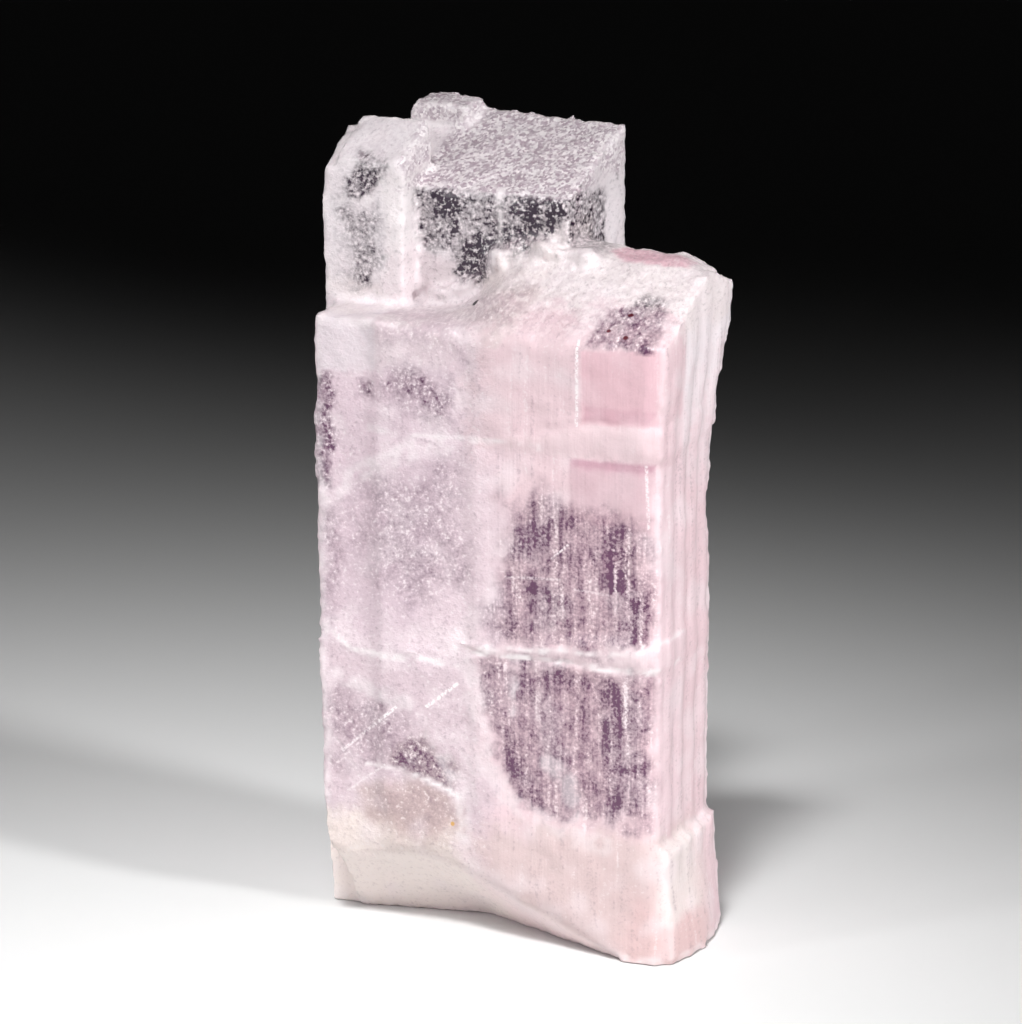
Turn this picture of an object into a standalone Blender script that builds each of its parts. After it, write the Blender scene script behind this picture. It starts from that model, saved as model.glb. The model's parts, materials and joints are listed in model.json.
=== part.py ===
"""Schizolite: a pale lilac-pink cleavage of two tabular crystals grown together.

Millimetres are used below and turned into metres once, when the solid is finished.
The broad front faces look along -Y, the crystals stand along +Z, and the origin is
the middle of the flat broken base.
"""

import math
import random

import bmesh
import bpy
from mathutils import Vector, noise

MM = 0.001
SEED = 41

# Front crystal: the thicker, pinker one
FRONT_LEFT = -6.6
FRONT_RIGHT = 6.84
FRONT_DEPTH = 5.5
LEDGE_HEIGHT = 23.05
CREST_HEIGHT = 25.3
CREST_START = 3.7
RISE_LEFT = -2.6
RISE_RIGHT = 0.3

# Tall crystal: stands behind and above the front one
TALL_LEFT = -7.33
TALL_RIGHT = 1.9
TABLET_RIGHT = -4.0
TABLET_FRONT = 2.6
TALL_FRONT = 3.8
TALL_BACK = 9.75
TABLET_TOP = 28.35
TABLET_FLAT = 29.5
TABLET_BACK = 5.2
SLOPE_FOOT = 27.25
SLOPE_RISE = 0.297

# The raised knob on the back of the tall crystal
KNOB_LEFT = -6.05
KNOB_RIGHT = -3.75
KNOB_FRONT = 8.0
KNOB_TOP = 29.42

# Cleavage ledges that cross the front crystal, as heights of their lower and upper edges
# how far they stand out, and where they begin along X
CLEAVAGES = (
    (11.15, 11.75, 0.13, -1.6),
    (10.7, 10.8, 0.08, -9.0),
    (19.0, 19.75, 0.10, 0.4),
    (20.1, 20.2, 0.07, -4.8),
)
FOOT_STEP = 4.4
FOOT_EDGE = 0.36
FOOT_FLARE = 0.62
TOP_FLARE = 0.55

# Both crystals are made this far below the base, then cut off flat
BELOW = 1.0
STEP_WIDTH = 0.06
# Height of the gentle waves along the ledges
WAVER = 0.35
ROUGHNESS_MM = 0.05


def clear_scene():
    for obj in list(bpy.data.objects):
        bpy.data.objects.remove(obj)


def ramp(value, low, high):
    """0 below low, 1 above high, eased between them."""
    share = min(max((value - low) / (high - low), 0.0), 1.0)
    return share * share * (3.0 - 2.0 * share)


def along(value, stops):
    """Height-by-height values joined by straight lines."""
    for (low, a), (high, b) in zip(stops, stops[1:]):
        if value <= high:
            share = max((value - low) / (high - low), 0.0)
            return a + (b - a) * share
    return stops[-1][1]


def rough(x, y, z, size=1.0, amount=ROUGHNESS_MM):
    """A small smooth unevenness, the same for the same place."""
    return amount * noise.noise(Vector((x, y, z)) / size)


def both_sides(places):
    """Two cuts beside each place where a face steps sharply."""
    half = STEP_WIDTH / 2
    return [place + side for place in places for side in (-half, half)]


def sliced_box(low, high, cuts):
    """A box whose walls are cut at the given places along X, Y and Z."""
    bm = bmesh.new()
    bmesh.ops.create_cube(bm, size=1.0)
    for vert in bm.verts:
        for axis in range(3):
            vert.co[axis] = low[axis] if vert.co[axis] < 0 else high[axis]
    for axis, places in enumerate(cuts):
        normal = Vector((0, 0, 0))
        normal[axis] = 1.0
        for place in places:
            point = normal * place
            bmesh.ops.bisect_plane(
                bm,
                geom=bm.verts[:] + bm.edges[:] + bm.faces[:],
                plane_co=point,
                plane_no=normal,
                dist=1e-6,
            )
    return bm


def to_object(bm, name):
    bmesh.ops.recalc_face_normals(bm, faces=bm.faces[:])
    bmesh.ops.triangulate(bm, faces=bm.faces[:])
    mesh = bpy.data.meshes.new(name)
    bm.to_mesh(mesh)
    bm.free()
    obj = bpy.data.objects.new(name, mesh)
    bpy.context.scene.collection.objects.link(obj)
    return obj


def block(points, name):
    """A convex block around the points."""
    bm = bmesh.new()
    for point in points:
        bm.verts.new(point)
    result = bmesh.ops.convex_hull(bm, input=bm.verts[:])
    spare = set(result["geom_interior"]) | set(result["geom_unused"])
    spare = [vert for vert in spare if isinstance(vert, bmesh.types.BMVert)]
    bmesh.ops.delete(bm, geom=spare, context="VERTS")
    return to_object(bm, name)


def drop_crumbs(obj):
    """Keeps the largest connected body, without the specks and pockets that joining can leave."""
    bm = bmesh.new()
    bm.from_mesh(obj.data)
    waiting = set(bm.verts)
    bodies = []
    while waiting:
        body = {waiting.pop()}
        edge = set(body)
        while edge:
            near = {link.other_vert(vert) for vert in edge for link in vert.link_edges}
            edge = near - body
            body |= edge
        waiting -= body
        bodies.append(body)
    largest = max(bodies, key=len)
    crumbs = [vert for vert in bm.verts if vert not in largest]
    bmesh.ops.delete(bm, geom=crumbs, context="VERTS")
    bm.to_mesh(obj.data)
    bm.free()


def combine(target, other, operation):
    """Joins or cuts target by other, then removes other."""
    modifier = target.modifiers.new(operation.title(), "BOOLEAN")
    modifier.object = other
    modifier.operation = operation
    modifier.solver = "EXACT"
    bpy.context.view_layer.objects.active = target
    bpy.ops.object.modifier_apply(modifier=modifier.name)
    bpy.data.objects.remove(other)
    drop_crumbs(target)


# Front crystal


def striation(y, z):
    """The right face steps in and out in narrow upright ribs, which fade out at both ends."""
    ribs = (0.0, 0.07, 0.02, 0.09, 0.04, 0.11, 0.05, 0.12, 0.0)
    rib = ribs[min(int(y / FRONT_DEPTH * len(ribs)), len(ribs) - 1)]
    return rib * ramp(z, 1.0, 6.0) * ramp(26.0 - z, 0.0, 5.0)


def cleavage_relief(x, z):
    """How far the front and right faces stand out at the cleavage ledges."""
    return sum(depth for low, high, depth, start in CLEAVAGES if low < z < high and x > start)


def foot_flare(y, z):
    """The right face swells out below the foot step, most in the middle of the face."""
    if z > FOOT_STEP:
        return 0.0
    bow = math.sin(math.pi * min(max((y + 0.9) / (FRONT_DEPTH + 1.6), 0.0), 1.0))
    return FOOT_EDGE + FOOT_FLARE * bow * ramp(FOOT_STEP - z, 0.0, FOOT_STEP) ** 1.3


def wedge_lift(x, z):
    """Lifts the upper edge of each wide ledge towards the right, so that the ledge widens."""
    lift = 0.0
    for low, high, _, start in CLEAVAGES:
        if high - low > 0.3:
            near = ramp(z, low + 0.1, high - 0.1) * ramp(high + 1.8 - z, 0.0, 1.7)
            lift += near * (0.9 * ramp(x, start, FRONT_RIGHT) - 0.5)
    return lift


def front_left(z):
    stops = ((0, -5.8), (2.0, -5.95), (2.9, -6.1), (3.4, -6.3), (5.5, -6.46), (12, -6.55), (18, -6.7), (25, -6.62))
    return along(z, stops)


def front_right(y, z):
    top_flare = TOP_FLARE * ramp(z, 17.5, 24.0) * (0.35 + 0.65 * y / FRONT_DEPTH)
    ledges = 0.6 * cleavage_relief(FRONT_RIGHT, z)
    return FRONT_RIGHT - 0.06 + striation(y, z) + ledges + foot_flare(y, z) + top_flare


def front_face(x, z):
    """Distance of the broad front face behind the foremost plane."""
    set_back = 0.16 if x < -4.2 else 0.0
    set_back += 0.12 if x < -0.4 else 0.0
    set_back += 0.35 * ramp(x, FRONT_RIGHT - 0.5, FRONT_RIGHT)
    return 0.13 + set_back - cleavage_relief(x, z) + rough(x, 0, z, 2.3, 0.09)


def front_back(x, z):
    top_flare = 0.95 * ramp(z, 18.0, 24.0) * ramp(x, 3.0, FRONT_RIGHT)
    return FRONT_DEPTH + top_flare + rough(x, 9, z, 1.7, 0.12)


def front_top(x, y):
    """Height of the broken top: a flat ledge on the left, a slope up to a flat crest on the right."""
    slope = LEDGE_HEIGHT + (CREST_HEIGHT - LEDGE_HEIGHT) * min(max(y / CREST_START, 0.0), 1.0)
    rise = ramp(x, RISE_LEFT, RISE_RIGHT)
    height = LEDGE_HEIGHT + (slope - LEDGE_HEIGHT) * rise
    height += 0.18 if -1.4 < x < 3.4 and y > 3.2 else 0.0
    height -= 0.2 if x > 6.2 and y > 3.4 else 0.0
    height -= 1.0 * ramp(y, 3.0, 6.0) * ramp(x, 4.8, 6.8)
    return height + rough(x, y, 3, 0.8, 0.12)


def front_crystal():
    xs = both_sides((-4.8, -4.2, -1.6, -0.4, 0.4, 6.2)) + [-5.6, -2.9, -2.2, 1.2, 2.3, 3.4, 4.3, 5.3]
    ribs = 9
    ys = both_sides(FRONT_DEPTH * rib / ribs for rib in range(1, ribs))
    edges = [edge for low, high, _, _ in CLEAVAGES for edge in (low, high)]
    zs = both_sides([FOOT_STEP] + edges)
    zs += [0.0, 1.0, 2.2, 3.3, 6.4, 8.8, 13.6, 16.2, 17.8, 21.4, 22.6]
    top = 24.0
    bm = sliced_box((FRONT_LEFT, 0, -BELOW), (FRONT_RIGHT, FRONT_DEPTH, top), (xs, ys, zs))
    for vert in bm.verts:
        x, y, z = vert.co
        across = (x - FRONT_LEFT) / (FRONT_RIGHT - FRONT_LEFT)
        left = front_left(z) + rough(0, y, z, 0.9, 0.1)
        right = front_right(y, z) + rough(5, y, z, 2.0, 0.06)
        face = front_face(x, z)
        depth = y / FRONT_DEPTH
        lifted = (front_top(x, y) - top) * ramp(z, 20.0, top)
        lifted += wedge_lift(x, z)
        lifted += WAVER * noise.noise(Vector((x, y, 5.0)) / 4.0) * ramp(top - z, 0.0, 2.0)
        vert.co = (
            left + (right - left) * across,
            face + (front_back(x, z) - face) * depth,
            z + lifted,
        )
    return to_object(bm, "front_crystal")


# Tall crystal


def tall_top(x, y):
    """A frosted slope, with a higher tablet at the front left and a knob at the back."""
    if x < TABLET_RIGHT and y < TABLET_BACK:
        height = min(TABLET_TOP + 0.45 * (y - TABLET_FRONT), TABLET_FLAT)
        height -= 0.35 if x < -6.7 else 0.0
    elif KNOB_LEFT < x < KNOB_RIGHT and y > KNOB_FRONT:
        height = KNOB_TOP - 0.08 * abs(x + 5.0)
    else:
        height = SLOPE_FOOT + SLOPE_RISE * (y - TALL_FRONT)
        height -= 0.22 if x < KNOB_LEFT else 0.0
    return height + rough(x, y, 7, 0.6, 0.1)


def tall_crystal():
    knob = (KNOB_LEFT, KNOB_RIGHT)
    xs = both_sides((TABLET_RIGHT, -6.7) + knob) + [-5.6, -5.0, -4.5, -3.0, -2.2, -1.3, -0.5, 0.4, 1.2]
    ys = both_sides((TABLET_BACK, KNOB_FRONT)) + [3.0, 4.2, 6.2, 7.1, 8.7]
    zs = both_sides((6.4, 15.3, 21.5)) + [3.2, 9.5, 12.4, 18.4, 23.6, 25.4]
    top = 27.3
    low = Vector((TALL_LEFT, TABLET_FRONT, -BELOW - 0.2))
    high = Vector((TALL_RIGHT, TALL_BACK, top))
    bm = sliced_box(low, high, (xs, ys, zs))
    for vert in bm.verts:
        x, y, z = vert.co
        front = TABLET_FRONT if x < TABLET_RIGHT else TALL_FRONT
        depth = min((y - TABLET_FRONT) / (TABLET_BACK - TABLET_FRONT), 1.0)
        back = TALL_BACK + rough(x, 20, z, 1.4, 0.14)
        back -= 0.3 if z > 21.5 and x > -0.5 else 0.0
        back -= 0.25 if z < 6.4 else 0.0
        place = front + (TABLET_BACK - front) * depth if y < TABLET_BACK else y
        place = back if y == high[1] else place
        side = 0.0
        if x == low[0]:
            side = rough(3, y, z, 1.1, 0.12) + 0.15 * (y > TABLET_BACK) + 0.12 * (z > 15.3)
            side += 0.45 * ramp(4.0 - z, 0.0, 3.0)
        if x == high[0]:
            side = rough(4, y, z, 1.3, 0.1) + 0.1 * (y > KNOB_FRONT)
        lifted = (tall_top(x, place) - top) * ramp(z, 22.5, top)
        vert.co = (x + side, place + rough(x, y, z, 1.5, 0.06), z + lifted)
    return to_object(bm, "tall_crystal")


# Broken places


def base_break():
    """The slanting break that takes the foot off the front face, deepest left of the middle."""
    return (
        (-9.0, 1.9, 0.0),
        (-9.0, 2.3, -1.5),
        (-1.0, 3.3, 0.0),
        (-1.0, 3.7, -1.5),
        (5.4, 0.35, 0.0),
        (5.4, 0.35, -1.5),
        (-9.0, -1.0, 4.2),
        (-2.5, -1.0, 4.6),
        (3.2, -1.0, 2.2),
        (5.8, -1.0, 0.4),
        (-9.0, -1.5, -1.5),
        (5.8, -1.5, -1.5),
    )


def below_base():
    """Everything under the flat base."""
    return [(x, y, z) for x in (-12, 12) for y in (-6, 15) for z in (-3, 0)]


def shard(rng, centre, size):
    """Corner points of one small irregular block."""
    turn = rng.uniform(-0.8, 0.8)
    corners = []
    for sx in (-1, 1):
        for sy in (-1, 1):
            for sz in (-1, 1):
                x = sx * size[0] * rng.uniform(0.6, 1.0)
                y = sy * size[1] * rng.uniform(0.6, 1.0)
                z = sz * size[2] * rng.uniform(0.6, 1.0)
                corners.append(
                    (
                        centre[0] + x * math.cos(turn) - y * math.sin(turn),
                        centre[1] + x * math.sin(turn) + y * math.cos(turn),
                        centre[2] + z,
                    )
                )
    return corners


def crest_shards(rng):
    """Small blocks left standing where the front crystal broke away from the tall one."""
    for step in range(18):
        x = -3.0 + 5.6 * step / 17 + rng.uniform(-0.15, 0.15)
        z = 23.1 + 2.0 * ramp(x, RISE_LEFT, RISE_RIGHT) + rng.uniform(0.0, 0.3)
        y = TALL_FRONT + rng.uniform(-0.35, 0.1)
        size = rng.uniform(0.16, 0.48)
        yield shard(rng, (x, y, z), (size, size * rng.uniform(0.8, 1.3), size * rng.uniform(0.7, 1.5)))


def edge_chips(rng):
    """Small bites out of the crystals' long edges."""
    for step in range(7):
        z = 3.6 + 2.9 * step + rng.uniform(-0.8, 0.8)
        yield shard(rng, (FRONT_LEFT - 0.08, 0.28, z), (0.24, 0.24, rng.uniform(0.2, 0.6)))
    for step in range(6):
        z = 5.5 + 3.0 * step + rng.uniform(-1.0, 1.0)
        place = (FRONT_RIGHT + 0.2, FRONT_DEPTH + 0.12, z)
        yield shard(rng, place, (0.28, 0.26, rng.uniform(0.15, 0.45)))
    for step in range(6):
        place = (-3.0 + 0.85 * step, TALL_BACK + 0.1, SLOPE_FOOT + SLOPE_RISE * (TALL_BACK - TALL_FRONT))
        yield shard(rng, place, (rng.uniform(0.2, 0.38), 0.4, rng.uniform(0.14, 0.3)))
    for step in range(4):
        yield shard(rng, (2.7 + 1.1 * step, FRONT_DEPTH + 0.3, CREST_HEIGHT + 0.25), (0.4, 0.5, 0.5))


def crystal_material():
    material = bpy.data.materials.new("lilac_pink_crystal")
    material.use_nodes = True
    shader = material.node_tree.nodes["Principled BSDF"]
    shader.inputs["Base Color"].default_value = (0.76, 0.60, 0.66, 1.0)
    shader.inputs["Roughness"].default_value = 0.35
    shader.inputs["Metallic"].default_value = 0.0
    shader.inputs["IOR"].default_value = 1.6
    return material


def finish(obj):
    """Turns millimetres into metres, with the origin under the middle of the box."""
    mesh = obj.data
    low = [min(vert.co[axis] for vert in mesh.vertices) for axis in range(3)]
    high = [max(vert.co[axis] for vert in mesh.vertices) for axis in range(3)]
    shift = Vector(((low[0] + high[0]) / 2, (low[1] + high[1]) / 2, low[2]))
    for vert in mesh.vertices:
        vert.co = (vert.co - shift) * MM
    obj.name = "crystal"
    mesh.name = "crystal"
    mesh.materials.clear()
    mesh.materials.append(crystal_material())


def main():
    clear_scene()
    rng = random.Random(SEED)
    crystal = front_crystal()
    combine(crystal, tall_crystal(), "UNION")
    combine(crystal, block(base_break(), "base_break"), "DIFFERENCE")
    combine(crystal, block(below_base(), "below_base"), "DIFFERENCE")
    for points in crest_shards(rng):
        combine(crystal, block(points, "crest_shard"), "UNION")
    for points in edge_chips(rng):
        combine(crystal, block(points, "edge_chip"), "DIFFERENCE")
    finish(crystal)


main()
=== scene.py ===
import json
import math

import bpy
import numpy as np
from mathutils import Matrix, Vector, noise

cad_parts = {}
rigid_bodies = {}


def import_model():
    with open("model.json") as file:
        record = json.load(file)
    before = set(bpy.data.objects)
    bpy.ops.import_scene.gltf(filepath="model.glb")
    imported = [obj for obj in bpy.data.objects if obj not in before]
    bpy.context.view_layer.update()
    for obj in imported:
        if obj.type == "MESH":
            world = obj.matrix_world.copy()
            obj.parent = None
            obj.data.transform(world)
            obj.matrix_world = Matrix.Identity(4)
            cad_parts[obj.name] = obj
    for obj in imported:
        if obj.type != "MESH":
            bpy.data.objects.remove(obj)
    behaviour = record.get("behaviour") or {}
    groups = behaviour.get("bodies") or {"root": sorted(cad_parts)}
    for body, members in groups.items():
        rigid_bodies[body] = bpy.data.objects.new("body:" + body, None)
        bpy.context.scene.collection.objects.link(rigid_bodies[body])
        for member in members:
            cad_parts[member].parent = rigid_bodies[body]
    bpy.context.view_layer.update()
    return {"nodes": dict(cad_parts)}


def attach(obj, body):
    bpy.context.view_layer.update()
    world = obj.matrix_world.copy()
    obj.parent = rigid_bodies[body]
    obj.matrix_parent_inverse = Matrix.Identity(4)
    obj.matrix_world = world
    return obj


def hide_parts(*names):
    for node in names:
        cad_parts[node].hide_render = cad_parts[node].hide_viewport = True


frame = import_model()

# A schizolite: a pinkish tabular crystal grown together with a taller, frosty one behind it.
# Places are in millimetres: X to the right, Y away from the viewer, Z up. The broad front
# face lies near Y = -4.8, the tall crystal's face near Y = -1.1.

# One millimetre, and where the broad front face lies along Y
MM = 0.001
FRONT = -4.78


def tint(red, green, blue):
    """A surface colour given as it looks on a screen, 0 to 255, made linear."""
    shares = [channel / 255.0 for channel in (red, green, blue)]
    linear = [s / 12.92 if s <= 0.04045 else ((s + 0.055) / 1.055) ** 2.4 for s in shares]
    return (*linear, 1.0)


# Sides of the crystal that outlines are drawn on: the side's two axes, the lowest and highest
# corners of the space it fills, and how softly that space ends
SIDES = {
    "front": ((0, 2), (-9.0, -9.0, -1.0), (6.85, -2.4, 25.3), 0.3),
    "front pane": ((0, 2), (-9.0, -9.0, -1.0), (6.45, -2.4, 25.3), 0.3),
    "whole front": ((0, 2), (-9.0, -9.0, -1.0), (9.0, 1.2, 26.4), 0.3),
    "tall": ((0, 2), (-9.0, -2.9, 22.9), (9.0, 0.4, 28.0), 0.3),
    "tall pane": ((0, 2), (-4.35, -1.5, 22.9), (9.0, 0.4, 28.0), 0.3),
    "tablet": ((0, 2), (-9.0, -2.9, 22.9), (-4.4, -1.6, 29.0), 0.3),
    "tall side": ((1, 2), (1.2, -1.4, 22.9), (3.0, 6.0, 30.0), 0.3),
    "foot": ((0, 2), (-12.0, -12.0, -4.0), (12.0, -1.6, 9.0), 1.4),
    "under the foot": ((0, 2), (-9.0, -4.45, -1.0), (9.0, 1.2, 4.2), 0.3),
    "crest top": ((0, 1), (2.0, -1.6, 24.7), (9.0, 1.2, 26.4), 0.3),
    "all round": ((0, 2), (-9.0, -9.0, -1.0), (9.0, 9.0, 31.0), 0.3),
}

# Tinted places: name, side, outline, softness, raggedness, colour, share
TINTED = (
    ("grey pink", "front", ((-4.37, 23.8), (-0.2, 24.2), (-0.2, 21.9), (-4.39, 21.4)),
     0.15, 0.4, (218, 200, 206), 0.9),
    ("milky rectangle", "front", ((-6.8, 23.6), (-4.41, 23.7), (-4.43, 21.18), (-6.8, 20.96)),
     0.06, 0.1, (227, 217, 222), 0.95),
    ("left lilac", "front", ((-6.8, 21.0), (-1.0, 21.6), (-0.6, 12.0), (-6.8, 11.0)),
     0.5, 0.8, (217, 197, 206), 0.8),
    ("left foot lilac", "front", ((-6.8, 10.6), (-1.2, 10.2), (0.4, 5.0), (-1.0, 3.6), (-6.4, 3.8)),
     0.5, 0.8, (212, 193, 200), 0.8),
    ("middle veil", "front", ((-1.4, 18.4), (0.6, 18.4), (0.7, 11.3), (-3.2, 11.0), (-2.4, 13.2)),
     0.5, 0.8, (229, 210, 217), 0.8),
    ("mottled pink", "front", ((-0.42, 24.3), (3.61, 24.7), (3.62, 20.2), (2.09, 19.5), (-0.42, 19.0)),
     0.4, 0.8, (224, 198, 203), 0.8),
    ("pink panel", "front", ((3.65, 22.74), (6.55, 23.0), (6.5, 20.2), (5.91, 20.08), (3.66, 20.1)),
     0.05, 0.06, (224, 186, 194), 1.0),
    ("pink stripe", "front", ((3.81, 20.78), (6.5, 20.76), (6.2, 20.22), (3.7, 20.26)),
     0.05, 0.08, (214, 170, 181), 1.0),
    ("light band", "front",
     ((-0.42, 19.13), (2.09, 19.46), (4.0, 20.14), (6.6, 20.06), (6.6, 18.81), (3.43, 18.82),
      (-0.42, 18.8)),
     0.07, 0.12, (228, 204, 208), 1.0),
    ("pink quad", "front", ((3.24, 18.77), (6.38, 18.8), (6.39, 16.2), (4.4, 16.4), (3.25, 16.5)),
     0.06, 0.12, (213, 183, 190), 1.0),
    ("pink quad top", "front", ((3.32, 18.76), (6.38, 18.74), (6.38, 18.45), (3.32, 18.42)),
     0.05, 0.08, (199, 156, 170), 1.0),
    ("cleavage band", "front",
     ((-1.3, 11.25), (2.3, 11.5), (5.9, 11.72), (6.9, 12.1), (6.9, 11.05), (2.87, 11.05), (-0.3, 11.05)),
     0.06, 0.10, (232, 212, 216), 1.0),
    ("pale right edge", "front", ((6.3, 18.6), (6.9, 18.6), (6.9, 5.0), (6.5, 5.0)),
     0.15, 0.2, (236, 213, 218), 0.9),
    ("milky foot", "foot", ((-0.6, 4.3), (6.4, 5.0), (9.0, 4.8), (9.0, -1.0), (-0.2, -1.0)),
     0.5, 0.7, (213, 192, 190), 0.9),
    ("beige foot", "foot", ((-9.0, 3.9), (-4.2, 4.2), (-1.2, 4.1), (0.6, -1.0), (-9.0, -1.0)),
     0.6, 0.8, (216, 202, 195), 0.95),
    # Painted light: the underside of the foot faces down, and it is painted paler and pinker against the
    # shade it gets there
    ("underside of the foot", "under the foot", ((-9.0, 5.0), (5.0, 5.0), (5.0, -1.0), (-9.0, -1.0)),
     0.3, 0.3, (255, 245, 238), 1.0),
    ("pinker underside", "under the foot", ((-1.6, 5.0), (5.0, 5.0), (5.0, -1.0), (0.4, -1.0)),
     0.9, 0.5, (255, 236, 235), 0.9),
    ("brownish patch", "front",
     ((-5.4, 5.2), (-3.4, 5.8), (-1.0, 5.4), (-1.0, 4.2), (-2.6, 3.5), (-4.6, 3.8)),
     0.3, 0.5, (200, 178, 174), 0.9),
    ("rosy corner", "foot", ((5.6, 2.4), (9.0, 2.8), (9.0, -1.0), (5.0, -1.0)),
     0.8, 0.4, (226, 192, 191), 0.7),
    ("pale foot tip", "foot", ((6.7, 4.6), (9.0, 4.6), (9.0, 1.6), (6.8, 1.6)),
     0.3, 0.3, (240, 232, 229), 0.8),
    ("brown lens", "front", ((-4.0, 6.5), (-3.4, 7.3), (-2.2, 7.5), (-1.4, 6.9), (-1.2, 5.6), (-3.6, 6.0)),
     0.3, 0.5, (202, 184, 182), 0.7),
    ("crest rim", "whole front",
     ((-9.0, 23.75), (-2.4, 23.9), (-0.9, 24.6), (0.0, 27.0), (9.0, 27.0), (9.0, 23.2), (6.9, 23.0),
      (6.4, 23.9), (3.4, 24.1), (1.6, 23.9), (0.8, 24.4), (-1.0, 23.7), (-2.8, 23.2), (-9.0, 23.0)),
     0.4, 0.7, (236, 226, 226), 0.9),
    ("brownish slope", "whole front", ((-2.2, 24.6), (1.2, 25.0), (1.0, 23.0), (-2.0, 23.0)),
     0.5, 0.9, (226, 214, 210), 0.6),
    ("pink facet on the crest", "crest top",
     ((3.3, 0.5), (6.2, 0.3), (6.2, -0.9), (4.2, -1.2), (3.0, -0.5)),
     0.10, 0.2, (228, 184, 194), 1.0),
    ("tall ridge", "tall", ((-4.95, 29.5), (-3.7, 29.5), (-4.1, 23.0), (-5.0, 23.0)),
     0.2, 0.3, (246, 239, 240), 1.0),
    ("tall foot", "tall",
     ((-4.9, 25.3), (-3.7, 25.0), (-2.7, 24.4), (-1.4, 24.0), (-1.4, 22.9), (-4.9, 22.9)),
     0.25, 0.5, (238, 226, 229), 0.9),
)
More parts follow.
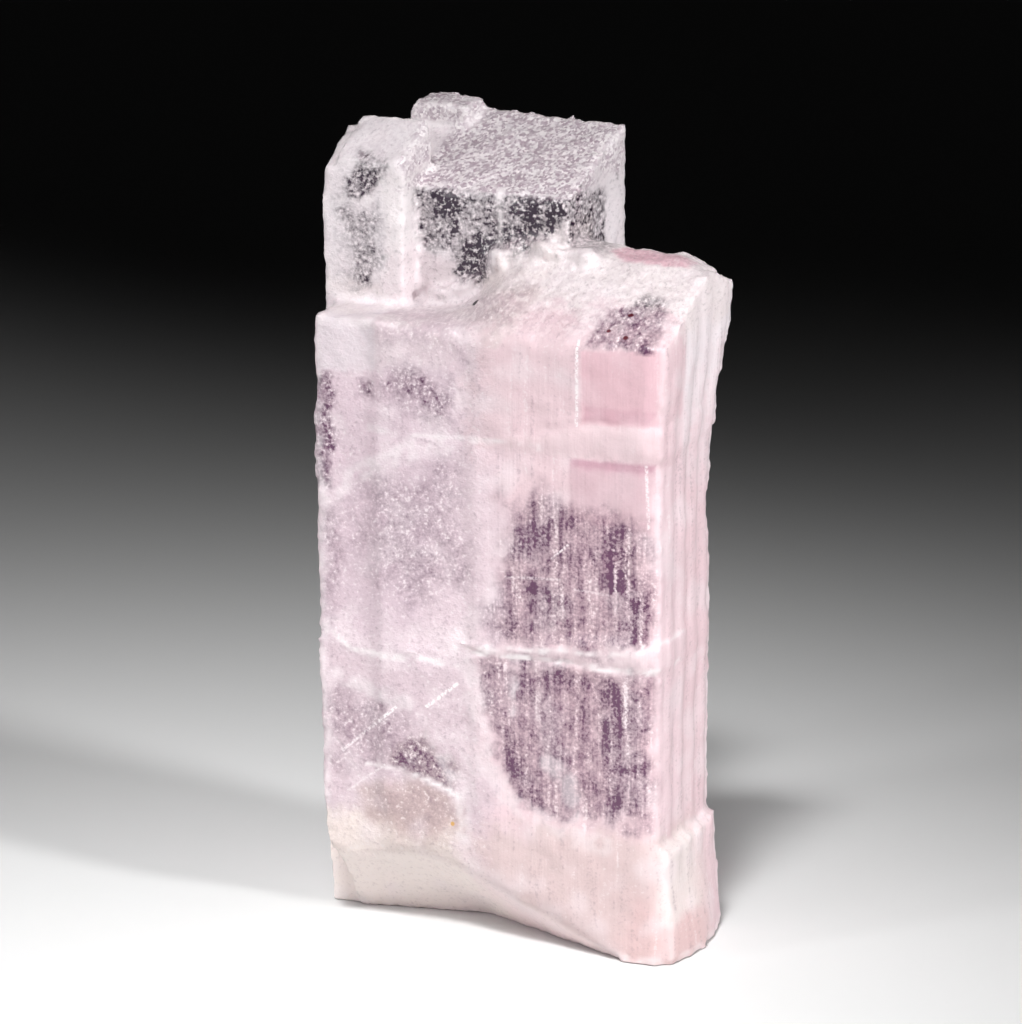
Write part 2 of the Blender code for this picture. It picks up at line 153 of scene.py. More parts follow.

# Clear places, where the dark space seen through the crystal is painted in as shade: name, side, outline,
# softness, raggedness, how clear
CLEAR = (
    ("tall face", "tall pane",
     ((-4.5, 27.9), (2.4, 27.9), (1.9, 26.1), (0.03, 25.2), (-0.75, 24.8), (-1.73, 24.2), (-2.71, 24.5),
      (-3.69, 25.2), (-4.4, 25.8)),
     0.3, 0.8, 0.74),
    ("tall face dark left", "tall pane",
     ((-3.6, 27.9), (-2.3, 27.9), (-2.3, 26.0), (-2.9, 25.7), (-3.6, 26.1)),
     0.3, 0.8, 1.5),
    ("tall face dark right", "tall pane",
     ((-0.5, 27.9), (2.2, 27.9), (1.8, 26.3), (0.8, 25.8), (-0.5, 26.1)),
     0.35, 0.8, 1.35),
    ("tall face dark foot", "tall pane",
     ((-2.5, 25.5), (1.1, 26.8), (1.1, 25.7), (-0.2, 24.9), (-1.5, 24.0), (-2.5, 24.0)),
     0.35, 0.9, 1.3),
    ("tall side", "tall side", ((-1.3, 27.3), (2.6, 27.0), (2.9, 24.5), (-1.3, 24.5)),
     0.4, 0.9, 0.75),
    ("tall side cracks", "tall side", ((2.2, 28.5), (2.5, 28.5), (3.8, 27.4), (3.5, 27.1), (2.8, 27.7)),
     0.06, 0.25, 0.9),
    ("tablet upper", "tablet", ((-6.3, 28.4), (-4.95, 28.4), (-4.9, 27.7), (-5.4, 26.8), (-6.24, 26.75)),
     0.2, 0.6, 1.0),
    ("tablet lower", "tablet", ((-6.8, 26.3), (-5.6, 26.4), (-5.2, 25.1), (-5.4, 23.7), (-6.4, 23.7)),
     0.5, 0.9, 0.62),
    ("tablet spot", "tablet", ((-6.0, 24.15), (-5.47, 24.2), (-5.4, 23.65), (-6.0, 23.6)),
     0.2, 0.3, 0.9),
    ("crest specks", "front pane", ((-1.3, 24.0), (0.3, 24.4), (1.0, 24.2), (0.6, 23.2), (-0.9, 23.0)),
     0.4, 0.8, 0.42),
    ("pink grey specks", "front pane", ((-4.2, 23.6), (-1.0, 23.9), (-0.9, 22.6), (-4.2, 22.2)),
     0.4, 0.6, 0.26),
    ("crest window", "front pane",
     ((3.75, 23.75), (4.6, 23.9), (5.2, 24.6), (5.9, 24.3), (6.5, 22.95), (3.75, 22.8)),
     0.15, 0.4, 1.0),
    ("upper violet", "front pane",
     ((0.85, 16.8), (1.9, 17.4), (3.6, 16.95), (5.1, 16.8), (6.3, 16.2), (6.55, 15.2), (6.3, 12.2),
      (2.9, 11.5), (0.2, 11.4), (0.0, 12.8), (0.85, 14.5)),
     0.6, 0.8, 0.80),
    ("upper right streaks", "front pane", ((5.3, 14.4), (6.3, 14.3), (6.3, 12.1), (5.3, 12.0)),
     0.35, 0.6, 1.15),
    ("upper middle streaks", "front pane", ((1.0, 13.9), (3.6, 14.1), (3.6, 13.3), (1.0, 13.1)),
     0.3, 0.6, 1.0),
    ("upper left dark", "front pane", ((0.97, 16.3), (2.71, 16.5), (2.71, 15.1), (1.0, 14.8)),
     0.35, 0.5, 1.05),
    ("upper dark", "front pane", ((4.6, 16.4), (5.75, 16.4), (5.79, 13.7), (4.6, 13.6)),
     0.35, 0.4, 1.35),
    ("lower violet", "front pane",
     ((-0.1, 10.95), (3.26, 11.05), (6.5, 10.99), (6.5, 8.6), (6.4, 5.45), (4.99, 5.05), (3.86, 5.3),
      (2.89, 5.05), (1.63, 5.3), (0.93, 6.24), (0.42, 7.55), (0.19, 8.9), (-0.12, 9.7)),
     0.4, 0.8, 0.81),
    ("lower dark", "front pane",
     ((4.6, 10.9), (5.65, 10.9), (5.8, 7.7), (5.4, 5.4), (4.6, 5.3), (4.3, 7.5)),
     0.35, 0.4, 1.1),
    ("lower left dark", "front pane", ((0.5, 8.3), (1.4, 8.2), (2.2, 5.3), (1.0, 6.1)),
     0.2, 0.4, 1.0),
    ("left edge", "front pane", ((-6.9, 21.0), (-6.15, 21.0), (-6.2, 16.6), (-6.9, 16.5)),
     0.15, 0.4, 0.95),
    ("left patch", "front pane", ((-4.3, 21.0), (-1.2, 21.5), (-1.1, 19.6), (-3.3, 19.2), (-4.4, 20.1)),
     0.5, 1.0, 0.42),
    ("left patch dark", "front pane",
     ((-3.9, 20.9), (-2.4, 21.2), (-1.5, 20.9), (-1.5, 20.2), (-2.6, 20.1), (-3.6, 20.5)),
     0.25, 0.8, 0.72),
    ("left spot", "front pane", ((-5.3, 20.9), (-4.6, 20.9), (-4.6, 20.3), (-5.3, 20.2)),
     0.2, 0.4, 0.7),
    ("left edge low", "front pane", ((-6.9, 16.2), (-5.6, 16.1), (-5.6, 14.0), (-6.1, 10.9), (-6.9, 10.8)),
     0.5, 0.9, 0.42),
    ("left grain", "front pane",
     ((-5.1, 17.1), (-1.0, 17.7), (-0.8, 14.5), (-1.8, 12.9), (-4.6, 12.6), (-5.2, 14.8)),
     0.9, 1.0, 0.45),
    ("foot patch", "front pane", ((-6.2, 9.0), (-3.4, 8.9), (-3.2, 7.2), (-4.0, 6.55), (-6.2, 6.3)),
     0.6, 1.0, 0.48),
    ("half lens", "front pane",
     ((-4.0, 6.5), (-3.4, 7.3), (-2.2, 7.5), (-1.4, 6.9), (-1.2, 5.8), (-2.6, 5.8), (-3.6, 6.05)),
     0.3, 0.5, 0.85),
    ("brown diamond", "front pane",
     ((-5.2, 5.1), (-3.4, 5.7), (-1.1, 5.3), (-1.1, 4.4), (-2.6, 3.7), (-4.4, 4.0)),
     0.6, 0.9, 0.28),
)

# White veils and cracks: name, side, path, width, strength
VEILS = (
    ("jagged crack", "front",
     ((-6.3, 11.15), (-5.56, 10.7), (-4.97, 10.5), (-3.4, 10.56), (-2.2, 10.6), (-1.2, 10.5)),
     0.15, 1.0),
    ("bright arc", "front", ((-4.79, 6.28), (-4.0, 6.25), (-3.2, 6.07), (-2.0, 5.8), (-0.9, 5.45)),
     0.15, 1.0),
    ("diagonal band", "front", ((-6.6, 16.1), (-5.5, 16.95), (-4.33, 17.7), (-3.15, 18.3), (-1.7, 18.75)),
     0.55, 0.5),
    ("long veil", "front", ((-4.6, 19.05), (-3.3, 18.9), (-1.8, 18.98), (0.2, 19.05), (2.1, 19.1)),
     0.15, 0.6),
    ("sweep", "front",
     ((-1.2, 11.4), (-0.6, 10.0), (-0.35, 8.5), (0.0, 7.0), (0.8, 5.6), (2.9, 4.7), (4.6, 4.3)),
     0.55, 0.35),
    ("cleavage top", "front", ((-1.4, 11.2), (2.3, 11.5), (6.0, 11.75), (6.7, 12.1)),
     0.13, 0.8),
    ("cleavage foot", "front", ((-0.4, 11.05), (2.9, 11.1), (6.6, 11.05)),
     0.15, 1.0),
    ("foot veil", "front", ((-6.0, 9.4), (-3.2, 8.8), (-1.9, 7.2), (-1.0, 5.6), (-0.9, 3.8)),
     0.45, 0.5),
    ("tablet arc", "tablet", ((-7.2, 26.55), (-6.5, 26.75), (-5.9, 26.7), (-5.3, 27.1), (-5.0, 27.6)),
     0.22, 0.9),
    ("tall crack", "tall", ((-0.95, 27.3), (-0.95, 24.8)),
     0.14, 0.9),
    ("light in the lower window", "front", ((2.4, 7.2), (3.2, 6.6), (3.4, 5.4)),
     0.5, 0.4),
    ("light beside it", "front", ((1.0, 10.2), (1.05, 8.9)),
     0.2, 0.5),
)

# Places whose edges get no painted white highlight: name, side, outline
NO_EDGE_HIGHLIGHT = (
    ("slope foot", "whole front", ((-4.6, 23.9), (6.2, 23.9), (6.2, 22.2), (-4.6, 22.2))),
    ("front corner", "front", ((6.0, 23.0), (7.2, 23.0), (7.2, 3.0), (6.0, 3.0))),
    ("crest corner", "whole front", ((5.8, 25.2), (9.0, 25.2), (8.6, 21.0), (5.8, 21.0))),
    ("left ledge", "front", ((-9.0, 24.2), (-2.0, 24.4), (-2.0, 23.0), (-9.0, 23.0))),
    ("tall front edges", "all round", ((-5.2, 27.7), (2.4, 27.7), (2.4, 24.0), (-5.2, 23.2))),
    ("broken base", "all round", ((-9.0, 4.6), (5.0, 4.6), (5.0, 0.4), (-9.0, 0.4))),
)

# Tinted places no softer than this are even in colour inside. How calm they are, and the foot below
EVEN = 0.08
CALM = 0.7
CALM_FOOT = 0.35

# Which ragged edges the tinted and clear places have, the same on every run
RAGGED_SEED = 3

# Thin white lines: start, end, width, strength
SCRATCHES = (
    ((3.49, 23.6), (3.47, 20.0), 0.09, 0.9),
    ((6.12, 18.7), (6.2, 16.4), 0.09, 0.7),
    ((-5.8, 6.64), (-3.6, 8.6), 0.11, 1.0),
    ((-2.4, 8.75), (-1.2, 9.75), 0.11, 1.0),
    ((3.45, 13.9), (4.7, 13.8), 0.07, 0.35),
    ((2.56, 14.95), (3.17, 15.52), 0.06, 0.8),
    ((0.75, 14.06), (2.87, 14.2), 0.07, 0.45),
    ((-4.42, 23.4), (-4.43, 21.2), 0.06, 0.5),
    ((-5.6, 5.1), (-4.1, 6.3), 0.10, 0.9),
)

# Scratches reach a little way in, so depth counts for less than the rest
FLATTEN = (1.0, 0.2, 1.0)

# Small mineral specks: place, radius, colour
SPECKS = (
    ((-1.17, -2.89, 23.62), 0.18, (22, 18, 22)),
    ((5.01, -3.4, 23.86), 0.14, (84, 16, 30)),
    ((5.18, -4.34, 23.28), 0.12, (92, 20, 34)),
    ((4.46, -4.15, 23.42), 0.10, (104, 36, 50)),
    ((-1.39, -4.63, 4.38), 0.10, (214, 166, 84)),
)

# Body colours: the front face's left and right, the tall crystal, and the milk in all of them
LEFT_LILAC = tint(224, 207, 214)
RIGHT_PINK = tint(231, 205, 210)
TALL_PALE = tint(240, 233, 236)
MILK = tint(244, 233, 236)

# Colours inside the clear places, painted shade for the dark space seen through the crystal, violet on the
# broad one and near black in the tall one; of the sugar's grey grains; and of veils, cracks, white grains
# and the painted highlight on edges
VIOLET_PAINTED_SHADE = tint(86, 42, 78)
TALL_PAINTED_SHADE = tint(34, 14, 38)
SUGAR_GREY = tint(174, 155, 167)
WHITE_AND_PAINTED_HIGHLIGHT = tint(252, 246, 247)

# Sizes of the grains in the material
SPECK_GRAIN = 0.17
SALT_GRAIN = 0.10
STREAK_GRAIN = 0.28
CRUMB_GRAIN = 0.09

# Unevenness of the skin: size of its lumps, levels of detail, height, and the grey that stays put
CRUST = (0.30, 3, 0.12, 0.5)
WORN_SKIN = (0.9, 2, 0.10, 0.5)
CHIPS = (0.38, 3, 0.17, 0.55)
SUGAR = (0.30, 2, 0.12, 0.5)

# Cell of the fine mesh, how far the low corner sinks, and the angle past which an edge stays sharp
CELL = 0.14
CORNER_DROP = 0.5
SHARP_ANGLE = 40


# The crystal's shape


def ease(values, low, high):
    """Rises smoothly from 0 at low to 1 at high."""
    share = np.clip((values - low) / (high - low), 0.0, 1.0)
    return share * share * (3.0 - 2.0 * share)


def from_segment(spots, start, end):
    """How far each flat spot lies from a straight segment."""
    start, end = np.array(start), np.array(end)
    along = end - start
    share = np.clip((spots - start) @ along / (along @ along), 0.0, 1.0)
    return np.linalg.norm(spots - start - share[:, None] * along, axis=1)


def within(spots, outline, soft):
    """How far flat spots lie within an outline: 0 well outside it, 1 well inside."""
    nearest = np.full(len(spots), np.inf)
    inside = np.zeros(len(spots), dtype=bool)
    for start, end in zip(outline, outline[1:] + outline[:1]):
        nearest = np.minimum(nearest, from_segment(spots, start, end))
        if start[1] != end[1]:
            crossed = (start[1] > spots[:, 1]) != (end[1] > spots[:, 1])
            slope = (end[0] - start[0]) / (end[1] - start[1])
            inside ^= crossed & (spots[:, 0] < start[0] + (spots[:, 1] - start[1]) * slope)
    return ease(np.where(inside, nearest, -nearest), -soft, soft)


def on_side(points, side):
    """The flat spots of a side, and how much each point belongs to it."""
    axes, low, high, fade = SIDES[side]
    inside = np.minimum(points - np.array(low), np.array(high) - points).min(axis=1)
    return points[:, axes], ease(inside, -fade, fade)


def push_about(points):
    """A sideways push for each point, coarse and fine together, that makes outlines ragged."""
    noise.seed_set(RAGGED_SEED)
    coarse = [noise.noise_vector(Vector(p) * 0.9) for p in points]
    fine = [noise.noise_vector(Vector(p) * 3.5) for p in points]
    return np.array(coarse) * 0.9 + np.array(fine) * 0.5


def lumps(points, size):
    """Smooth noise between -1 and 1 whose features are about size millimetres across."""
    coarse = [noise.noise(Vector(p) / size) for p in points]
    fine = [noise.noise(Vector(p) * 2.0 / size) for p in points]
    return np.array(coarse) + 0.5 * np.array(fine)


def group_weights(piece, name, weights):
    """Stores how strongly each point takes part, in 20 steps."""
    group = piece.vertex_groups.new(name=name)
    steps = np.round(weights * 20).astype(int)
    for step in range(1, 21):
        group.add([int(i) for i in np.flatnonzero(steps == step)], step / 20, "REPLACE")


def apply(piece, kind, **settings):
    """Adds a modifier and applies it."""
    made = piece.modifiers.new(kind.lower(), kind)
    for name, value in settings.items():
        setattr(made, name, value)
    bpy.ops.object.modifier_apply(modifier=made.name)


def roughen(piece, name, skin, group=""):
    """Raises and lowers the skin with cloudy noise, over all of it or by a group's weights."""
    size, detail, height, still = skin
    texture = bpy.data.textures.new(name, "CLOUDS")
    texture.noise_scale = size * MM
    texture.noise_depth = detail
    apply(piece, "DISPLACE", texture=texture, texture_coords="LOCAL", strength=height * MM,
          mid_level=still, vertex_group=group)


def points_of(mesh):
    """Where each point lies, in millimetres."""
    flat = np.empty(len(mesh.vertices) * 3)
    mesh.vertices.foreach_get("co", flat)
    return flat.reshape(-1, 3) / MM


def normals_of(mesh):
    """Which way the surface faces at each point."""
    flat = np.empty(len(mesh.vertices) * 3)
    mesh.vertices.foreach_get("normal", flat)
    return flat.reshape(-1, 3)


def frosted(points, normals):
    """Where the surface is sugary: most on the tall crystal's sloping top, less on the crest."""
    up = ease(normals[:, 2], 0.25, 0.6)
    high = ease(points[:, 2], 22.6, 23.4)
    slope = ease(points[:, 2], 27.2, 27.3) * ease(points[:, 0], -4.7, -4.3)
    slope *= ease(normals[:, 2], -0.15, 0.15)
    knob = ease(points[:, 1], 2.8, 3.1) * ease(points[:, 2], 28.7, 28.8)
    tall_top = np.maximum(slope, knob)
    return np.maximum(up * high * 0.22, tall_top)


def ridged(mesh):
    """How much each point stands on an edge or a corner: 0 on flat ground, 1 on a sharp edge."""
    pairs = np.empty(len(mesh.edges) * 2, dtype=int)
    mesh.edges.foreach_get("vertices", pairs)
    first, second = pairs.reshape(-1, 2).T
    normals = normals_of(mesh)
    bend = 1.0 - (normals[first] * normals[second]).sum(axis=1)
    amount = np.zeros(len(mesh.vertices))
    np.maximum.at(amount, first, bend)
    np.maximum.at(amount, second, bend)
    neighbours = np.bincount(first, minlength=len(amount)) + np.bincount(second, minlength=len(amount))
    for _ in range(3):
        total = np.bincount(first, amount[second], len(amount))
        total += np.bincount(second, amount[first], len(amount))
        amount = 0.5 * amount + 0.5 * total / neighbours
    return ease(amount, 0.01, 0.06)


def paint(piece):
    """Stores the body colour, paler under the foot as painted light, and where the crystal is clear and
    painted dark as shade, veiled or white with a painted highlight on its edges, and sugary.
    """
    mesh = piece.data
    points, normals = points_of(mesh), normals_of(mesh)
    push = push_about(points)
    tone = np.empty((len(points), 4))
    rightward = ease(points[:, 0] + push[:, 0] * 0.6, -2.0, 1.4)[:, None]
    tone[:] = np.array(LEFT_LILAC) * (1.0 - rightward) + np.array(RIGHT_PINK) * rightward
    front_of_tall = ease(normals[:, 1], -0.4, -0.7)
    start = 22.9 * front_of_tall + (15.0 + 3.0 * push[:, 2]) * (1.0 - front_of_tall)
    tall = ease(points[:, 2] - start, 0.0, 0.4 + 9.0 * (1.0 - front_of_tall))
    tall *= ease(points[:, 1], -2.9, -2.6)
    tall = tall[:, None]
    tone[:] = tone * (1.0 - tall) + np.array(TALL_PALE) * tall
    # Faces turned down or to the front: on the underside of the foot they take the paler tints, as painted
    # light
    under = np.maximum(ease(normals[:, 2], 0.0, -0.3), ease(normals[:, 1], -0.2, -0.5))
    for _, side, outline, soft, ragged, colour, share in TINTED:
        spots, part = on_side(points, side)
        if side == "under the foot":
            part = part * under
        mask = within(spots + push[:, SIDES[side][0]] * ragged, outline, soft) * part * share
        tone[:] = tone * (1.0 - mask[:, None]) + np.array(tint(*colour)) * mask[:, None]
    plain = np.zeros(len(points))
    for _, side, outline, soft, ragged, _, share in TINTED:
        calm = CALM if soft <= EVEN else CALM_FOOT if side == "under the foot" else 0.0
        if calm:
            spots, part = on_side(points, side)
            plain = np.maximum(plain, within(spots, outline, 0.15) * part * calm)
    milky = (ease(lumps(points, 1.5), -0.1, 0.5) * (1.0 - plain) * 0.4)[:, None]
    tone[:] = tone * (1.0 - milky) + np.array(MILK) * milky
    mottle = lumps(points, 0.45)
    clear = np.zeros(len(points))
    for _, side, outline, soft, ragged, depth in CLEAR:
        spots, part = on_side(points, side)
        mask = within(spots + push[:, SIDES[side][0]] * ragged, outline, soft) * part * depth
        clear = np.maximum(clear, mask)
    grit = frosted(points, normals)
    clear *= (1.0 + 0.45 * mottle) * (1.0 - grit)
    veil = np.zeros(len(points))
    for _, side, path, width, strength in VEILS:
        spots, part = on_side(points, side)
        spots = spots + push[:, SIDES[side][0]] * 0.12
        for start, end in zip(path, path[1:]):
            mask = 1.0 - ease(from_segment(spots, start, end), width * 0.35, width)
            veil = np.maximum(veil, mask * part * strength)
    # Painted highlight: white along edges and corners, where they catch the light and glow, except in the
    # listed places; it joins the veils
    rim = ridged(mesh)
    for _, side, outline in NO_EDGE_HIGHLIGHT:
        spots, part = on_side(points, side)
        rim *= 1.0 - within(spots, outline, 0.3) * part
    veil = np.maximum(veil, rim * 0.45) * ease(mottle, -0.6, 0.3)
    marks = np.stack([clear, veil, grit, plain], axis=1)
    for layer_name, values in (("tone", tone), ("marks", marks)):
        layer = mesh.attributes.new(layer_name, "FLOAT_COLOR", "POINT")
        layer.data.foreach_set("color", values.ravel())


def clean_up():
    """Deletes crumbs that hang free of the crystal, and flattens its underside."""
    bpy.ops.object.mode_set(mode="EDIT")
    bpy.ops.mesh.separate(type="LOOSE")
    bpy.ops.object.mode_set(mode="OBJECT")
    parts = sorted(bpy.context.selected_objects, key=lambda part: len(part.data.vertices))
    parts[-1].select_set(False)
    if len(parts) > 1:
        bpy.ops.object.delete()
    parts[-1].select_set(True)
    bpy.context.view_layer.objects.active = parts[-1]
    mesh = parts[-1].data
    low = points_of(mesh)[:, 2] < 0.06
    mesh.vertices.foreach_set("select", low)
    bpy.ops.object.mode_set(mode="EDIT")
    bpy.ops.transform.resize(value=(1.0, 1.0, 0.0), center_override=(0.0, 0.0, 0.0))
    bpy.ops.object.mode_set(mode="OBJECT")
    return parts[-1]


def copy_of_solid():
    """A copy of the frame's solid as one closed fine mesh."""
    bpy.ops.object.select_all(action="DESELECT")
    solid = frame["nodes"]["crystal"]
    solid.select_set(True)
    bpy.context.view_layer.objects.active = solid
    bpy.ops.object.duplicate()
    piece = bpy.context.active_object
    piece.name = "schizolite_crystal"
    bpy.ops.object.parent_clear(type="CLEAR_KEEP_TRANSFORM")
    bpy.ops.object.mode_set(mode="EDIT")
    bpy.ops.mesh.select_all(action="SELECT")
    bpy.ops.mesh.remove_doubles(threshold=2e-6)
    bpy.ops.object.mode_set(mode="OBJECT")
    apply(piece, "REMESH", mode="VOXEL", voxel_size=CELL * MM)
    apply(piece, "SMOOTH", factor=0.5, iterations=3)
    return piece


def wear(piece):
    """Evens the faces, softens the creases, and roughens the crest, edges and sugary top."""
    edges = ridged(piece.data)
    group_weights(piece, "edges", edges)
    striated = ease(points_of(piece.data)[:, 0], 6.4, 6.6)
    group_weights(piece, "faces", (1.0 - edges) * (1.0 - 0.9 * striated))
    apply(piece, "SMOOTH", factor=0.6, iterations=12, vertex_group="faces")
    points = points_of(piece.data)
    crease = ease(points[:, 2], 21.8, 22.6) * ease(points[:, 2], 24.9, 24.3) * ease(points[:, 0], 6.0, 5.4)
    crease *= ease(points[:, 0], -4.5, -3.5)
    crease *= ease(points[:, 1], -3.3, -3.8)
    broken = ease(points[:, 2], 5.0, 4.2) * ease(points[:, 2], 0.5, 1.2) * ease(points[:, 1], -2.0, -2.8)
    broken *= ease(points[:, 0], -6.2, -5.6) * ease(points[:, 0], 5.6, 4.6)
    group_weights(piece, "soft creases", np.maximum(crease, broken))
    apply(piece, "SMOOTH", factor=0.5, iterations=70, vertex_group="soft creases")
    normals = normals_of(piece.data)
    crest = ease(normals[:, 2], 0.2, 0.5)
    crest *= ease(points[:, 2], 23.0, 23.5) * ease(points[:, 2], 26.6, 26.2)
    group_weights(piece, "crest", crest)
    roughen(piece, "crust", CRUST, "crest")
    corner = ease(points[:, 0], -6.1, -6.5) * ease(points[:, 1], 1.5, 3.5) * ease(points[:, 2], 27.2, 27.9)
    group_weights(piece, "low corner", corner)
    apply(piece, "DISPLACE", direction="Z", strength=-CORNER_DROP * MM, mid_level=0.0,
          vertex_group="low corner")
    group_weights(piece, "sugary", frosted(points_of(piece.data), normals_of(piece.data)))
    roughen(piece, "worn skin", WORN_SKIN)
    roughen(piece, "chipped edges", CHIPS, "edges")
    roughen(piece, "sugar", SUGAR, "sugary")


def crystal():
    """The whole crystal, with the frame's solid given a fine, slightly worn skin."""
    piece = copy_of_solid()
    wear(piece)
    piece = clean_up()
    piece.name = "schizolite_crystal"
    bpy.ops.object.shade_smooth_by_angle(angle=math.radians(SHARP_ANGLE))
    paint(piece)
    piece.data.materials.clear()
    piece.data.materials.append(crystal_material())
    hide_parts("crystal")
    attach(piece, "root")


# The crystal's look


def node(tree, kind, inputs=(), **settings):
    """Adds a node, with its settings and with each input linked or set."""
    made = tree.nodes.new(kind)
    for name, value in settings.items():
        setattr(made, name, value)
    for key, value in dict(inputs).items():
        if isinstance(value, bpy.types.NodeSocket):
            tree.links.new(value, made.inputs[key])
        else:
            made.inputs[key].default_value = value
    return made


def calc(tree, operation, first, second=0.0, third=0.0, clamp=False):
    """One sum on numbers."""
    made = node(tree, "ShaderNodeMath", {0: first, 1: second, 2: third}, operation=operation)
    made.use_clamp = clamp
    return made.outputs[0]


def vector(tree, operation, first, second=(0.0, 0.0, 0.0), scale=1.0):
    """One sum on places or directions. Its hidden sockets are reached by their number."""
    inputs = {0: first, 3: scale} if operation == "SCALE" else {0: first, 1: second}
    made = node(tree, "ShaderNodeVectorMath", inputs, operation=operation)
    return made.outputs["Value" if operation in ("DOT_PRODUCT", "LENGTH", "DISTANCE") else "Vector"]


def rise(tree, value, low, high, start=0.0, end=1.0):
    """Eases from start to end as value goes from low to high."""
    inputs = {"Value": value, "From Min": low, "From Max": high, "To Min": start, "To Max": end}
    made = node(tree, "ShaderNodeMapRange", inputs, interpolation_type="SMOOTHSTEP")
    return made.outputs["Result"]


def grain(tree, place, size, detail=2.0, stretch=(1.0, 1.0, 1.0)):
    """Cloudy noise around 0.5 whose features are about size millimetres across."""
    if stretch != (1.0, 1.0, 1.0):
        place = vector(tree, "MULTIPLY", place, stretch)
    inputs = {"Vector": place, "Scale": 1.0 / size, "Detail": detail, "Roughness": 0.6}
    return node(tree, "ShaderNodeTexNoise", inputs).outputs["Fac"]


def blend(tree, share, first, second):
    """Mixes two colours."""
    made = node(tree, "ShaderNodeMix", data_type="RGBA")
    for socket, value in ((made.inputs[0], share), (made.inputs[6], first), (made.inputs[7], second)):
        if isinstance(value, bpy.types.NodeSocket):
            tree.links.new(value, socket)
        else:
            socket.default_value = value
    return made.outputs[2]


def scratch(tree, place, start, end, width):
    """A thin soft line between two points of the broad face: 1 on it, 0 away from it."""
    begin = Vector((start[0], FRONT, start[1]))
    along = Vector((end[0], FRONT, end[1])) - begin
    away = vector(tree, "MULTIPLY", vector(tree, "SUBTRACT", place, begin), FLATTEN)
    reach = vector(tree, "DOT_PRODUCT", away, along / along.length_squared)
    nearest = node(tree, "ShaderNodeVectorMath", {0: along, 3: calc(tree, "ADD", reach, clamp=True)},
                   operation="SCALE").outputs["Vector"]
    return rise(tree, vector(tree, "DISTANCE", away, nearest), width * 0.3, width, 1.0, 0.0)


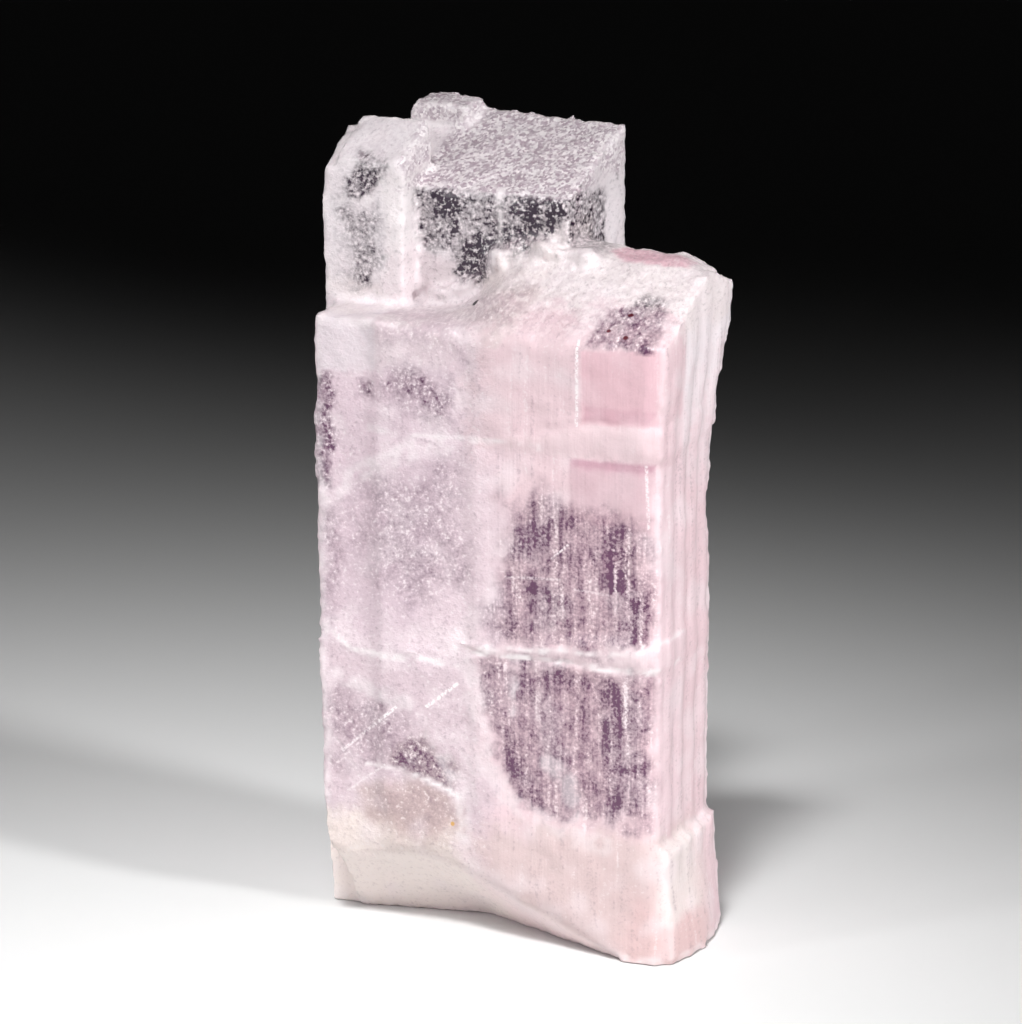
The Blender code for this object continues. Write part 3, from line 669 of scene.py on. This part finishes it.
def crystal_material():
    """Milky lilac and pink, with violet depths painted dark as shade for the space seen through them,
    white veils, a painted highlight on edges and grey sugar.
    """
    material = bpy.data.materials.new("lilac_pink_crystal")
    material.use_nodes = True
    tree = material.node_tree
    shader = tree.nodes["Principled BSDF"]
    where = node(tree, "ShaderNodeTexCoord").outputs["Object"]
    place = vector(tree, "SCALE", where, scale=1.0 / MM)
    parts = node(tree, "ShaderNodeSeparateXYZ", {0: place}).outputs
    tone = node(tree, "ShaderNodeAttribute", attribute_name="tone").outputs["Color"]
    marks = node(tree, "ShaderNodeAttribute", attribute_name="marks").outputs
    lively = calc(tree, "SUBTRACT", 1.0, marks["Alpha"])
    marks = node(tree, "ShaderNodeSeparateColor", {0: marks["Color"]}).outputs
    clear, veil, grit = marks["Red"], marks["Green"], marks["Blue"]

    specks = grain(tree, place, SPECK_GRAIN, 2.0, (1.0, 0.6, 1.0))
    salt = grain(tree, place, SALT_GRAIN, 1.0, (1.0, 0.6, 1.0))
    streak = grain(tree, place, STREAK_GRAIN, 2.0, (1.0, 1.0, 0.07))
    crumbs = vector(tree, "MULTIPLY", place, (1.0, 0.6, 1.0))
    crumbs = node(tree, "ShaderNodeTexVoronoi", {"Vector": crumbs, "Scale": 1.0 / CRUMB_GRAIN}).outputs
    crumb = node(tree, "ShaderNodeSeparateColor", {0: crumbs["Color"]}).outputs["Red"]

    # Dark grains in the painted shade: few in the milky parts, dense where the crystal is clear, in
    # stripes on the right
    striped = calc(tree, "MULTIPLY", rise(tree, parts["X"], -0.6, 0.6, 0.0, 0.7),
                   rise(tree, parts["Z"], 24.0, 23.0))
    pattern = node(tree, "ShaderNodeMix", {0: striped, 2: specks, 3: streak}).outputs[0]
    grains = calc(tree, "MULTIPLY_ADD", salt, 0.5, calc(tree, "SUBTRACT", pattern, 0.25))
    high = rise(tree, parts["Y"], -3.1, -2.8)
    contrast = calc(tree, "MULTIPLY_ADD", high, 0.5, 2.6)
    patchy = calc(tree, "MULTIPLY_ADD", calc(tree, "SUBTRACT", grains, 0.5), contrast, 0.72)
    depth = calc(tree, "MULTIPLY", clear, calc(tree, "MAXIMUM", patchy, 0.05))
    few = calc(tree, "MULTIPLY", rise(tree, grains, 0.52, 0.80, 0.0, 0.30), lively)
    depth = calc(tree, "MAXIMUM", depth, few, clamp=True)
    # Painted shade: the dark space seen through the clear places, violet on the broad crystal and near
    # black in the tall one
    painted_shade = blend(tree, high, VIOLET_PAINTED_SHADE, TALL_PAINTED_SHADE)
    colour = blend(tree, depth, tone, painted_shade)
    fleck = calc(tree, "MULTIPLY", rise(tree, grains, 0.43, 0.23), lively)
    pale = calc(tree, "MULTIPLY", fleck, rise(tree, clear, 0.0, 0.6, 0.42, 0.6))

    # Sugary places are grey with white grains
    sugar = calc(tree, "MULTIPLY", grit, rise(tree, crumb, 0.2, 1.0, 0.10, 1.0))
    colour = blend(tree, sugar, colour, SUGAR_GREY)
    white = calc(tree, "MULTIPLY", grit, rise(tree, crumb, 0.55, 0.0, 0.0, 1.0))
    pale = calc(tree, "MAXIMUM", pale, white)

    # White veils, cracks, scratches and the painted highlight on edges
    pale = calc(tree, "MAXIMUM", pale, veil)
    dotted = rise(tree, salt, 0.60, 0.46, 0.25, 1.0)
    for start, end, width, strength in SCRATCHES:
        broken = calc(tree, "MULTIPLY", scratch(tree, place, start, end, width), dotted)
        broken = calc(tree, "MULTIPLY", broken, strength)
        pale = calc(tree, "MAXIMUM", pale, broken)
    colour = blend(tree, pale, colour, WHITE_AND_PAINTED_HIGHLIGHT)

    for spot, radius, shade in SPECKS:
        away = vector(tree, "DISTANCE", place, spot)
        colour = blend(tree, rise(tree, away, radius * 0.6, radius, 1.0, 0.0), colour, tint(*shade))

    tree.links.new(colour, shader.inputs["Base Color"])
    tree.links.new(rise(tree, depth, 0.0, 0.8, 0.55, 0.34), shader.inputs["Roughness"])
    gritty = calc(tree, "MULTIPLY", grit, 2.0, clamp=True)
    height = node(tree, "ShaderNodeMix", {0: gritty, 2: pattern, 3: salt}).outputs[0]
    bump = node(tree, "ShaderNodeBump", {"Height": height, "Strength": 0.45, "Distance": 0.07 * MM})
    tree.links.new(bump.outputs["Normal"], shader.inputs["Normal"])

    shader.inputs["Metallic"].default_value = 0.0
    shader.inputs["IOR"].default_value = 1.6
    shader.inputs["Transmission Weight"].default_value = 0.4
    absorb = node(tree, "ShaderNodeVolumeAbsorption", {"Color": (0.86, 0.66, 0.76, 1.0), "Density": 90.0})
    tree.links.new(absorb.outputs["Volume"], tree.nodes["Material Output"].inputs["Volume"])
    return material


# Floor, light and camera


def floor():
    """A plain pale floor, wide enough to run out of sight."""
    bpy.ops.mesh.primitive_plane_add(size=3.0, location=(0.0, 0.0, -0.05 * MM))
    piece = bpy.context.active_object
    piece.name = "floor"
    material = bpy.data.materials.new("pale_floor")
    material.use_nodes = True
    shader = material.node_tree.nodes["Principled BSDF"]
    shader.inputs["Base Color"].default_value = (0.62, 0.62, 0.62, 1.0)
    shader.inputs["Roughness"].default_value = 0.7
    piece.data.materials.append(material)


def aim(obj, target):
    """Turns a lamp or the camera to face a place."""
    obj.rotation_euler = (Vector(target) - obj.location).to_track_quat("-Z", "Y").to_euler()


def toward(turn, lift):
    """The direction that lies turn degrees to the right of the front and lift degrees up."""
    turn, lift = math.radians(turn), math.radians(lift)
    return Vector((math.sin(turn) * math.cos(lift), -math.cos(turn) * math.cos(lift), math.sin(lift)))


def beam(name, turn, lift, target, cone, power):
    """A soft-edged beam from 0.3 m away."""
    bpy.ops.object.light_add(type="SPOT", location=Vector(target) + toward(turn, lift) * 0.3)
    lamp = bpy.context.active_object
    lamp.name = name
    lamp.data.spot_size = math.radians(cone)
    lamp.data.spot_blend = 1.0
    lamp.data.energy = power
    lamp.data.shadow_soft_size = 0.03
    aim(lamp, target)


def lights():
    """Soft beams round the crystal, strongest from the right and from above the floor in front."""
    beam("left beam", -42.0, 17.0, (0.0, 0.0, 0.016), 14.0, 1.75)
    beam("right beam", 76.0, 17.0, (0.0, 0.0, 0.016), 14.0, 6.9)
    beam("front beam", 18.0, 48.0, (0.0, -0.001, 0.018), 12.0, 1.4)
    beam("top beam", 10.0, 66.0, (0.0, -0.045, 0.0), 25.0, 7.6)
    beam("low beam", -24.0, 6.0, (-0.001, -0.003, 0.001), 6.0, 4.2)
    world = bpy.data.worlds.new("studio")
    world.use_nodes = True
    world.node_tree.nodes["Background"].inputs["Color"].default_value = (0.003, 0.003, 0.003, 1.0)
    bpy.context.scene.world = world
    bpy.context.scene.view_settings.view_transform = "Standard"


def camera():
    """Looks down a little from the right of the front face, as through a long lens."""
    target = Vector((-0.195, -1.899, 15.625)) * MM
    bpy.ops.object.camera_add(location=target + toward(22.0, 16.0) * 0.26)
    eye = bpy.context.active_object
    eye.name = "camera"
    eye.data.sensor_width = 36.0
    eye.data.lens = 251.37
    eye.data.clip_start = 0.01
    aim(eye, target)
    bpy.context.scene.camera = eye


crystal()
floor()
lights()
camera()
